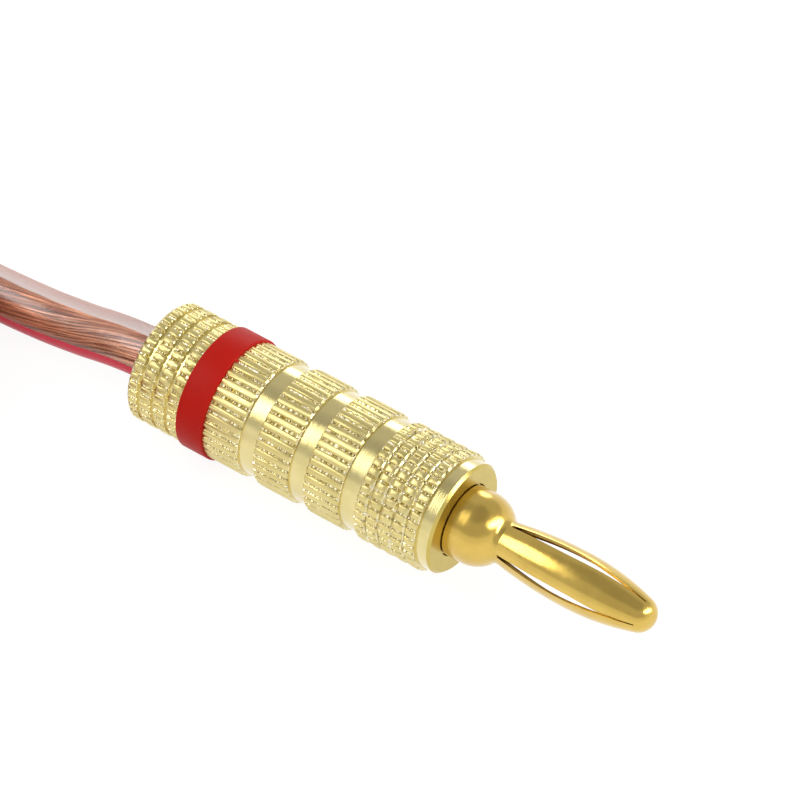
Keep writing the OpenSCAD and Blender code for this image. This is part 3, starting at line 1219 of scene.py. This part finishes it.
    def build_tie(self) -> bpy.types.Object:
        """Makes the tape that holds the coil's turns together.

        Returns:
            The tape.
        """
        corner, half, edge = self.diameter / 2, self.tie_width / 2, self.tie_edge
        inner = corner - self.tie_thickness
        lane = (
            (corner, half - edge), (corner - edge, half), (inner, half),
            (inner, -half), (corner - edge, -half), (corner, edge - half),
        )
        middle = Vector((self.coil_middle[0] - self.coil_mid_turn, self.coil_middle[1], self.diameter))
        rings = []
        for quarter, (x, z) in enumerate(((1, 1), (-1, 1), (-1, -1), (1, -1))):
            bend = middle + Vector((x * self.diameter, 0, z * self.diameter / 2))
            for i in range(self.tie_corner_steps + 1):
                a = math.radians(90 * (quarter + i / self.tie_corner_steps))
                out = Vector((math.cos(a), 0, math.sin(a)))
                rings.append([tuple((bend + out * r + Vector((0, y, 0))) * MM) for r, y in lane])
        tape = mesh_object("tie_tape", *loft(rings, closed=True), [TIE_TAPE.material()])
        return finish_mesh(tape, sharp=50.0)

    def build(self) -> None:
        line = self.centreline()
        jacket, strands, tie = self.build_sleeve(line), self.build_strands(line), self.build_tie()
        settle(jacket, "plug", "clear_jacket", "cable_jacket", "cable_coil")
        settle(strands, "plug", "copper", "cable_conductor", "cable_bare_end")
        settle(tie, "plug", "tie_plastic", "coil_tie")
        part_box("rear_cap")[0].x
        self.route[0][2] * MM
        [tuple(p * MM) for p in line]


@dataclass
class Knurl:
    """The rolled teeth that barrel and cap share."""

    teeth: int = 40
    depth: float = 0.16
    crown: float = 0.09
    top_share: float = 0.56
    foot_share: float = 0.08
    flank_parts: int = 4
    sunk_range: Span = (0.1, 1.0)
    sunk_share: float = 0.6

    def columns(self) -> list[float]:
        """Finds where a turned piece needs points to show its teeth.

        Returns:
            Angles in radians.
        """
        edge, foot = self.top_share / 2, 0.5 - self.foot_share / 2
        parts = [i / self.flank_parts for i in range(self.flank_parts + 1)]
        half = [edge * t for t in parts] + [edge + (foot - edge) * t for t in parts[1:]]
        steps = [-0.5, *(-p for p in reversed(half[1:])), *half]
        return [(i + p) * TURN / self.teeth for i in range(self.teeth) for p in steps]

    def tree(self) -> bpy.types.NodeTree:
        """Makes Geometry Nodes that press the teeth into a turned piece, at their first use.

        Returns:
            The tree.
        """
        found = bpy.data.node_groups.get("knurl")
        if found is not None:
            return found
        board = GeoBoard("knurl", {
            "Teeth": int, "Tip Radius": float, "Depth": float, "Crown": float, "Top Share": float,
            "Foot Share": float, "Axis Height": float,
        })
        given = board.given
        place = board.parts(board.node("GeometryNodeInputPosition"))
        across, above = place["Y"], place["Z"] - given["Axis Height"]
        out = board.calc("SQRT", across * across + above * above)
        angle = board.calc("ARCTAN2", above, across)
        share = board.calc("PINGPONG", angle * given["Teeth"] / TURN, 0.5) * 2.0
        flank = board.node("ShaderNodeMapRange", {"clamp": True, "interpolation_type": "SMOOTHSTEP"}, {
            "Value": share, "From Min": given["Top Share"], "From Max": 1.0 - given["Foot Share"]})
        tooth = given["Tip Radius"] - given["Depth"] * flank - given["Crown"] * share * share
        scale = board.calc("MINIMUM", out, tooth) / board.calc("MAXIMUM", out, TINY)
        moved = board.node("ShaderNodeCombineXYZ", None, {
            "X": place["X"], "Y": across * scale, "Z": above * scale + given["Axis Height"]})
        sunk = board.ramp((given["Tip Radius"] - out) / given["Depth"], *self.sunk_range)
        groove = board.calc("MAXIMUM", flank, sunk * self.sunk_share)
        marked = board.stored(given["Geometry"], "POINT", "groove", groove)
        shaped = board.node("GeometryNodeSetPosition", None, {"Geometry": marked, "Position": moved})
        return board.close(shaped, board.carried("BOOLEAN", "knurled"))

    def press(self, obj: bpy.types.Object, tip: float, height: float) -> bpy.types.Object:
        """Presses the teeth into a turned piece and gives them their finish.

        Args:
            obj: The turned piece, with its bands in the first material.
            tip: Radius over the teeth.
            height: Height of the axis.

        Returns:
            The same object.
        """
        mask = obj.data.attributes.new("knurled", "BOOLEAN", "FACE")
        mask.data.foreach_set("value", [p.material_index == Zone.KNURLED.value for p in obj.data.polygons])
        grow(obj, self.tree(), {
            "Teeth": self.teeth,
            "Tip Radius": tip * MM,
            "Depth": self.depth * MM,
            "Crown": self.crown * MM,
            "Top Share": self.top_share,
            "Foot Share": self.foot_share,
            "Axis Height": height * MM,
            "Material": KNURLED_GOLD.material(),
        })
        obj.data.attributes.remove(obj.data.attributes["knurled"])
        return finish_mesh(obj)


@dataclass
class Axis:
    """Places along the plug, in millimetres, read from the frame."""

    height: float = 0.0
    cap_rear: float = 0.0
    cap_front: float = 0.0
    barrel_rear: float = 0.0
    barrel_front: float = 0.0
    spigot_end: float = 0.0
    collar_front: float = 0.0
    tip: float = 0.0

    @classmethod
    def read(cls) -> "Axis":
        """Reads the boxes of the frame's nodes.

        Returns:
            The places.
        """
        ring, cap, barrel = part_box("colour_ring"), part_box("rear_cap"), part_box("barrel")
        return cls(
            height=(ring[0].z + ring[1].z) / 2 / MM,
            cap_rear=cap[0].x / MM,
            cap_front=ring[0].x / MM,
            barrel_rear=barrel[0].x / MM,
            barrel_front=barrel[1].x / MM,
            spigot_end=cap[1].x / MM,
            collar_front=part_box("contact_body")[1].x / MM,
            tip=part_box("spring_contact")[1].x / MM,
        )


@dataclass
class Barrel:
    """The knurled shell with its smooth grooves, front grip, lip and front face."""

    axis: Axis
    knurl: Knurl
    tip_radius: float = 5.5
    band_count: int = 3
    band_length: float = 3.64
    groove_length: float = 1.62
    groove_depth: float = 0.32
    band_bevel: float = 0.15
    edge_bevel: float = 0.06
    grip_count: int = 5
    grip_length: float = 1.01
    grip_groove: float = 0.28
    grip_depth: float = 0.28
    pillow: tuple[Span, ...] = ((0.36, 0.0), (0.22, 0.015), (0.1, 0.05), (0.0, 0.1))
    lip_radius: float = 5.1
    lip_length: float = 1.37
    lip_chamfer: float = 0.24
    hole_radius: float = 3.4
    wall: float = 3.0
    bore_radius: float = 4.0
    thread_radius: float = 4.45
    thread_depth: float = 5.0

    def section(self) -> Section:
        """Draws the shell's outline, from the rear edge round to the thread.

        Returns:
            The outline.
        """
        rear, front = self.axis.barrel_rear, self.axis.barrel_front
        tip, floor, bevel = self.tip_radius, self.tip_radius - self.groove_depth, self.band_bevel
        shape = Section().run(Zone.TURNED, (rear, tip - self.edge_bevel))
        shape.run(Zone.KNURLED, (rear + self.edge_bevel, tip))
        at = rear
        for _ in range(self.band_count):
            end = at + self.band_length
            at = end + self.groove_length
            shape.run(Zone.KNURLED, (end - bevel, tip), (end, tip - bevel))
            shape.run(Zone.TURNED, (end, floor), (at, floor), (at, tip - bevel))
            shape.run(Zone.KNURLED, (at + bevel, tip))
        for _ in range(self.grip_count - 1):
            end = at + self.grip_length
            at = end + self.grip_groove
            shape.run(Zone.KNURLED, *((end - inwards, tip - drop) for inwards, drop in self.pillow))
            shape.run(Zone.KNURLED, ((end + at) / 2, tip - self.grip_depth))
            shape.run(Zone.KNURLED, *((at + inwards, tip - drop) for inwards, drop in reversed(self.pillow)))
        end = front - self.lip_length
        lip, chamfer, hole = self.lip_radius, self.lip_chamfer, self.hole_radius
        inside, thread_end = front - self.wall, rear + self.thread_depth
        shape.run(Zone.KNURLED, (end - bevel, tip), (end, tip - bevel))
        shape.run(Zone.TURNED, (end, lip), (front - chamfer, lip))
        # The chamfer and the front face take the darker gold, which is painted shade for what they reflect.
        shape.run(Zone.POLISHED, (front, lip - chamfer), (front, hole))
        shape.run(Zone.BORED, (inside, hole), (inside, self.bore_radius), (thread_end, self.bore_radius))
        return shape.run(Zone.BORED, (thread_end, self.thread_radius), (rear, self.thread_radius))

    def build(self) -> bpy.types.Object:
        """Makes and places the shell.

        Returns:
            The shell.
        """
        height = self.axis.height
        shell = self.section().turned("barrel_shell", height, self.knurl.columns(), PALE_ZONES)
        self.knurl.press(shell, self.tip_radius, height)
        return settle(shell, "plug", "pale_gold", "barrel")


@dataclass
class RearCap:
    """The knurled cap with its threaded spigot."""

    axis: Axis
    knurl: Knurl
    tip_radius: float = 5.5
    ring_count: int = 4
    ring_length: float = 1.07
    groove_width: float = 0.38
    groove_depth: float = 0.32
    chamfer: float = 0.3
    edge_bevel: float = 0.06
    bore_radius: float = 2.85
    thread_radius: float = 4.4
    thread_pitch: float = 1.0
    thread_height: float = 0.5
    thread_steps: int = 48
    thread_sides: int = 4

    def section(self) -> Section:
        """Draws the cap's outline, from the cable entry round to the spigot's bore.

        Returns:
            The outline.
        """
        rear, front = self.axis.cap_rear, self.axis.cap_front
        start, last = self.axis.barrel_rear, self.axis.spigot_end
        tip, floor, bevel = self.tip_radius, self.tip_radius - self.groove_depth, self.edge_bevel
        bore, thread = self.bore_radius, self.thread_radius
        core = thread - self.thread_height
        shape = Section().run(Zone.BORED, (rear + self.chamfer, bore))
        shape.run(Zone.TURNED, (rear, bore + self.chamfer), (rear, tip - self.chamfer))
        shape.run(Zone.KNURLED, (rear + self.chamfer, tip))
        at = rear
        for _ in range(self.ring_count - 1):
            end = at + self.ring_length
            at = end + self.groove_width
            shape.run(Zone.KNURLED, (end - bevel, tip))
            shape.run(Zone.TURNED, (end, tip - bevel), (end, floor), (at, floor), (at, tip - bevel))
            shape.run(Zone.KNURLED, (at + bevel, tip))
        shape.run(Zone.KNURLED, (front - bevel, tip))
        shape.run(Zone.TURNED, (front, tip - bevel), (front, thread), (start, thread))
        return shape.run(Zone.TURNED, (start, core), (last, core), (last, bore))

    def thread_tree(self) -> bpy.types.NodeTree:
        """Makes Geometry Nodes that wind a thread's ridge about the axis.

        Returns:
            The tree.
        """
        board = GeoBoard("thread", {
            "Turns": float, "Core Radius": float, "Length": float, "Height": float, "Start": float,
            "Axis Height": float,
        })
        given = board.given
        helix = board.node("GeometryNodeCurveSpiral", None, {
            "Resolution": self.thread_steps,
            "Rotations": given["Turns"],
            "Start Radius": given["Core Radius"],
            "End Radius": given["Core Radius"],
            "Height": given["Length"],
        })
        helix = board.node("GeometryNodeSetCurveNormal", {"mode": "Z_UP"}, {"Curve": helix})
        spot = board.node("ShaderNodeCombineXYZ", None, {"X": given["Start"], "Z": given["Axis Height"]})
        laid = board.node("GeometryNodeTransform", None, {
            "Geometry": board.bar(helix, self.thread_sides, given["Height"]),
            "Translation": spot,
            "Rotation": (0.0, math.pi / 2, 0.0),
        })
        return board.close(laid)

    def build_thread(self) -> bpy.types.Object:
        """Makes and places the ridge of the spigot's thread, which ends short of the spigot's ends.

        Returns:
            The ridge.
        """
        start = self.axis.barrel_rear + self.thread_height
        length = self.axis.spigot_end - self.thread_height - start
        thread = grow(mesh_object("cap_thread", [], []), self.thread_tree(), {
            "Turns": length / self.thread_pitch,
            "Core Radius": (self.thread_radius - self.thread_height) * MM,
            "Length": length * MM,
            "Height": self.thread_height * MM,
            "Start": start * MM,
            "Axis Height": self.axis.height * MM,
            "Material": TURNED_GOLD.material(),
        })
        return settle(finish_mesh(thread), "cap", "pale_gold")

    def build(self) -> bpy.types.Object:
        """Makes and places the cap and its thread.

        Returns:
            The cap.
        """
        height = self.axis.height
        cap = self.section().turned("cap_shell", height, self.knurl.columns(), PALE_ZONES)
        self.knurl.press(cap, self.tip_radius, height)
        settle(cap, "cap", "pale_gold", "rear_cap")
        self.build_thread()
        return cap


@dataclass
class ColourRing:
    """The red plastic ring between cap and barrel."""

    axis: Axis
    outer_radius: float = 5.7
    inner_radius: float = 4.45
    edge: float = 0.1
    edge_steps: int = 4
    columns: int = 160

    def build(self) -> bpy.types.Object:
        """Makes and places the ring, with rounded outer edges.

        Returns:
            The ring.
        """
        rear, front, edge = self.axis.cap_front, self.axis.barrel_rear, self.edge
        bend = self.outer_radius - edge
        shape = Section().run(Zone.TURNED, (rear, self.inner_radius))
        shape.arc((rear + edge, bend), edge, 180, 90, self.edge_steps)
        shape.arc((front - edge, bend), edge, 90, 0, self.edge_steps)
        shape.run(Zone.TURNED, (front, self.inner_radius))
        columns = even_columns(self.columns)
        ring = shape.turned("ring_band", self.axis.height, columns, {Zone.TURNED: RING_RED})
        return settle(finish_mesh(ring), "ring", "red_plastic", "colour_ring")


@dataclass
class Contact:
    """The turned contact with its collar, and the sprung leaves in front of it."""

    axis: Axis
    collar_radius: float = 3.3
    collar_length: float = 4.1
    dome_radius: float = 3.1
    dome_steps: int = 24
    fillet_radius: float = 2.25
    fillet_gap: float = 0.005
    fillet_steps: int = 8
    undercut_radius: float = 3.2
    undercut_length: float = 0.1
    undercut_inside: float = 0.3
    wall: float = 3.0
    flange_radius: float = 3.9
    flange_length: float = 2.4
    shank_radius: float = 3.4
    columns: int = 144
    wire_radius: float = 1.23
    wire_depth: float = 12.0
    lead_in: float = 0.5
    socket_radius: float = 1.98
    socket_depth: float = 3.0
    screw_hole_radius: float = 1.53
    screw_hole_columns: int = 32
    screw_spots: tuple[float, ...] = (-8.9, -5.1)
    neck_radius: float = 1.95
    neck_length: float = 0.4
    crest_radius: float = 2.55
    crest_at: float = 7.4
    tip_radius: float = 1.65
    tip_steps: int = 12
    leaf_thickness: float = 0.26
    leaf_turn: float = 35.0
    leaf_count: int = 4
    leaf_columns: int = 18
    leaf_steps: int = 40
    leaf_seam: float = 0.0001
    slit_width: float = 0.85
    slit_end_width: float = 0.13
    slit_from: float = 0.6
    slit_length: float = 13.6
    slit_widest: float = 6.3
    slit_reach: float = 7.8

    def section(self) -> Section:
        """Draws the contact's outline, from the wire hole round to the socket of the leaves.

        Returns:
            The outline.
        """
        face, rear = self.axis.barrel_front, self.axis.spigot_end
        wire, wire_end = self.wire_radius, rear + self.wire_depth
        flange, rear_flange = self.flange_radius, rear + self.flange_length
        shoulder = face - self.wall
        front_flange = shoulder - self.flange_length
        collar, undercut = self.collar_radius, self.undercut_radius
        inside, outside = face - self.undercut_inside, face + self.undercut_length
        shape = Section().run(Zone.BORED, (wire_end, 0.0), (wire_end, wire), (rear + self.lead_in, wire))
        shape.run(Zone.BORED, (rear, wire + self.lead_in))
        shape.run(Zone.TURNED, (rear, flange), (rear_flange, flange), (rear_flange, self.shank_radius))
        shape.run(Zone.TURNED, (front_flange, self.shank_radius), (front_flange, flange), (shoulder, flange))
        shape.run(Zone.TURNED, (shoulder, collar), (inside, collar), (inside, undercut))
        shape.run(Zone.TURNED, (outside, undercut), (outside, collar))
        off_axis = collar - self.dome_radius
        rim = math.asin((self.socket_radius - off_axis) / self.dome_radius)
        middle = (face + self.collar_length - self.dome_radius * math.cos(rim), off_axis)
        slope = math.degrees(math.asin((self.fillet_radius - off_axis) / self.dome_radius))
        shape.arc(middle, self.dome_radius, 90, slope, self.dome_steps)
        self.fillet(shape, slope)
        bottom = face + self.collar_length - self.socket_depth
        return shape.run(Zone.BORED, (bottom, self.socket_radius), (bottom, 0.0))

    def fillet(self, shape: Section, slope: float) -> None:
        """Adds the hollow rounding from the dome down to the leaves' neck.

        Args:
            shape: The contact's outline, which ends on the dome.
            slope: Angle of the dome's wall there.
        """
        first = Vector(shape.points[-1])
        end = Vector((self.axis.collar_front + self.neck_length, self.neck_radius + self.fillet_gap))
        bend = Vector((first.x + (first.y - end.y) * math.tan(math.radians(slope)), end.y))
        for i in range(1, self.fillet_steps + 1):
            t = i / self.fillet_steps
            spot = first * (1 - t) ** 2 + bend * (2 * t * (1 - t)) + end * t ** 2
            shape.run(Zone.TURNED, (spot.x, spot.y))

    def build_body(self) -> bpy.types.Object:
        """Makes and places the turned contact, with the holes of its screws.

        Returns:
            The contact.
        """
        zones = {Zone.TURNED: CONTACT_GOLD, Zone.BORED: BORED_GOLD}
        body = self.section().turned("contact_shank", self.axis.height, even_columns(self.columns), zones)
        finish_mesh(self.drill(body))
        return settle(body, "plug", "deep_gold", "contact_body")

    def drill(self, body: bpy.types.Object) -> bpy.types.Object:
        """Drills the screw holes from the shank's top down to the wire.

        Args:
            body: The turned contact.

        Returns:
            The same object.
        """
        radius, bottom = self.screw_hole_radius, self.axis.height
        turns = even_columns(self.screw_hole_columns)
        points, faces = [], []
        for spot in self.screw_spots:
            outline = [((spot + radius * math.cos(a)) * MM, radius * math.sin(a) * MM) for a in turns]
            levels = (bottom * MM, (bottom + 2 * self.shank_radius) * MM)
            rings = [[(*place, level) for place in outline] for level in levels]
            hole_points, hole_faces = loft(rings, closed=False, start=len(points))
            points += hole_points
            faces += hole_faces
        drills = mesh_object("drills", points, faces, [BORED_GOLD.material()])
        cut = body.modifiers.new("drill", "BOOLEAN")
        cut.object = drills
        cut.material_mode = "TRANSFER"
        keep_result(body, cut)
        bpy.data.objects.remove(drills)
        return body

    def leaf_wall(self, along: float) -> Span:
        """The leaves' wall at a place.

        Args:
            along: Distance from the collar.

        Returns:
            The outer radius, and the angle by which the wall faces forwards, in radians.
        """
        crest, tip = self.crest_radius, self.tip_radius
        if along <= self.neck_length:
            return self.neck_radius, 0.0
        tip_at = self.axis.tip - self.axis.collar_front - tip
        run, rise = self.crest_at - self.neck_length, crest - self.neck_radius
        bend = (run ** 2 + rise ** 2) / (2 * rise)
        if along > self.crest_at:
            run = tip_at - self.crest_at
            bend = (run ** 2 + crest ** 2 - tip ** 2) / (2 * (crest - tip))
            if along - self.crest_at > bend * run / (bend - tip):
                lean = math.asin(min((along - tip_at) / tip, 1.0))
                return tip * math.cos(lean), lean
        lean = math.asin((along - self.crest_at) / bend)
        return crest - bend + bend * math.cos(lean), lean

    def slit(self, along: float) -> float:
        """Width of a slit, which is round at its ends.

        Args:
            along: Distance from the collar.

        Returns:
            The width there, and nothing past the ends.
        """
        left = min(along - self.slit_from, self.slit_from + self.slit_length - along)
        if left <= TINY:
            return 0.0
        away = min(abs(along - self.slit_widest) / self.slit_reach, 1.0)
        bulge = (self.slit_width - self.slit_end_width) * math.cos(math.pi / 2 * away) ** 2
        short = max(1 - 2 * left / self.slit_end_width, 0.0)
        return (self.slit_end_width + bulge) * math.sqrt(1 - short ** 2)

    def leaf_spots(self) -> list[float]:
        """Chooses where a leaf needs rows of points: its foot, the slit with its round ends, and the tip.

        Returns:
            Distances from the collar.
        """
        end, tip = self.axis.tip - self.axis.collar_front, self.tip_radius
        slit_end = self.slit_from + self.slit_length
        round_off = [self.slit_end_width / 2 * (1 - math.cos(math.radians(a))) for a in (0, 30, 60, 90)]
        first, last = self.slit_from + round_off[-1], slit_end - round_off[-1]
        spots = [-self.socket_depth, 0.0, self.neck_length, *(self.slit_from + t for t in round_off)]
        spots += [first + (last - first) * i / self.leaf_steps for i in range(1, self.leaf_steps)]
        spots += [slit_end - t for t in reversed(round_off)]
        lean = math.asin((slit_end - end + tip) / tip)
        leans = [lean + (math.pi / 2 - lean) * i / self.tip_steps for i in range(1, self.tip_steps + 1)]
        return spots + [end - tip * (1 - math.sin(a)) for a in leans]

    def leaf_mesh(self) -> bpy.types.Object:
        """Makes one leaf with its share of foot and tip, about the axis at height 0.

        Returns:
            The leaf, with its outer wall's points before those of its inner wall.
        """
        spots, start = self.leaf_spots(), self.axis.collar_front
        slits = [self.slit(along) for along in spots]
        count, columns = self.leaf_columns + 1, self.leaf_columns
        points: list[Place] = []
        for depth in (0.0, self.leaf_thickness):
            for along, width in zip(spots, slits):
                wall, lean = self.leaf_wall(along)
                place = start + along - depth * math.sin(lean)
                out = max(wall - depth * math.cos(lean), 0.0)
                half = math.pi / self.leaf_count - (math.asin(width / 2 / out) if width else 0.0)
                for k in range(count):
                    a = math.radians(self.leaf_turn) + half * (2 * k / columns - 1)
                    points.append((place * MM, out * math.sin(a) * MM, -out * math.cos(a) * MM))
        inside = len(spots) * count
        faces = [(k, k + 1, inside + k + 1, inside + k) for k in range(columns)]
        for i in range(len(spots) - 1):
            for here in range(i * count, i * count + columns):
                there = here + count
                faces.append((here, there, there + 1, here + 1))
                faces.append((inside + here, inside + here + 1, inside + there + 1, inside + there))
            if slits[i] or slits[i + 1]:
                for here in (i * count, i * count + columns):
                    faces.append((here, here + count, inside + here + count, inside + here))
        return mesh_object("spring_leaves", points, faces, [LEAF_GOLD.material()])

    def leaf_tree(self) -> bpy.types.NodeTree:
        """Makes Geometry Nodes that set a leaf around the axis.

        Returns:
            The tree.
        """
        board = GeoBoard("leaves", {"Count": int, "Axis Height": float})
        given = board.given
        turn = board.node("GeometryNodeInputIndex") * TURN / given["Count"]
        copies = board.node("GeometryNodeInstanceOnPoints", None, {
            "Points": board.node("GeometryNodePoints", None, {"Count": given["Count"]}),
            "Instance": given["Geometry"],
            "Rotation": board.node("ShaderNodeCombineXYZ", None, {"X": turn}),
        })
        lift = board.node("ShaderNodeCombineXYZ", None, {"Z": given["Axis Height"]})
        raised = board.node("GeometryNodeTransform", None, {"Geometry": copies, "Translation": lift})
        return board.close(raised)

    def build_leaves(self) -> bpy.types.Object:
        """Makes and places the sprung leaves with their round tip.

        Returns:
            The leaves.
        """
        leaves = grow(self.leaf_mesh(), self.leaf_tree(), {
            "Count": self.leaf_count,
            "Axis Height": self.axis.height * MM,
            "Material": LEAF_GOLD.material(),
        })
        finish_mesh(leaves, merge=self.leaf_seam)
        return settle(leaves, "plug", "deep_gold", "spring_contact")


def dress_node(name: str, finish: Finish) -> None:
    """Gives a CAD node that stays its finish.

    Args:
        name: The node.
        finish: Its finish.
    """
    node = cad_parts[name]
    node.data.materials.clear()
    node.data.materials.append(finish.material())


def main() -> None:
    """Builds the scene in order and reports each piece."""
    logging.basicConfig(level=logging.INFO, format="%(name)s: %(message)s")
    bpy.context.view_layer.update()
    bpy.context.scene.view_settings.view_transform = "Standard"

    studio = Studio()
    studio.build_camera()
    Cable().build()

    axis = Axis.read()
    knurl = Knurl()
    contact = Contact(axis)
    Barrel(axis, knurl).build()
    RearCap(axis, knurl).build()
    ColourRing(axis).build()
    contact.build_body()
    contact.build_leaves()
    dress_node("grub_screws", SCREW_STEEL)

    studio.build_lights()
    studio.build_floor()
    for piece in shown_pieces():
        LOG.info("%s: %d faces", piece.name, len(piece.data.polygons))


if __name__ == "__main__":
    main()
